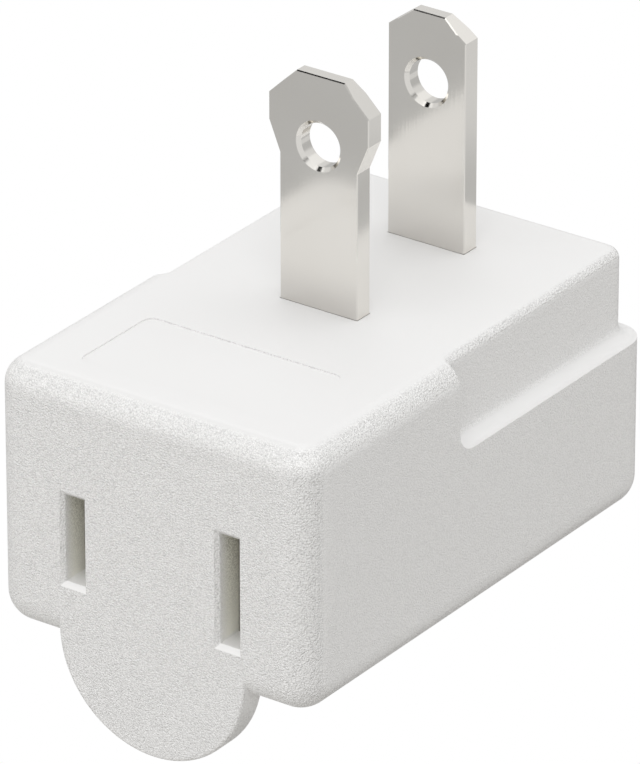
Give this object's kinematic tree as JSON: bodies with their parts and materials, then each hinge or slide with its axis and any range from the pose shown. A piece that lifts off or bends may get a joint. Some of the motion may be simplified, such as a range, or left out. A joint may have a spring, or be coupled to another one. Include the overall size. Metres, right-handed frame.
{
  "type": "right angle plug adapter",
  "caption": "Moulded wedge-shaped plug adapter with polarised flat blades on its top face, a slotted outlet on its front face and a rounded pull tab.",
  "frame": {"origin": "midway between the two blades, on the face that they stand on", "axes": "+Z along the blades, out of the face that rests on the wall outlet; -Y out of the outlet face with the two slots; +X to the right when the outlet face is seen with the blades up"},
  "size_m": [0.026, 0.0405, 0.0429],
  "materials": {
    "white_plastic": "fine spark texture",
    "carrier_plastic": "plain moulded",
    "plated_metal": "nickel plated brass",
    "contact_brass": "bare rolled brass"
  },
  "bodies": {
    "root": {"outer_body": "white_plastic", "carrier_base": "carrier_plastic", "carrier_cover": "carrier_plastic", "neutral_blade": "plated_metal", "hot_blade": "plated_metal", "neutral_contact": "contact_brass", "hot_contact": "contact_brass", "neutral_rivet": "contact_brass", "hot_rivet": "contact_brass"}
  },
  "joints": []
}
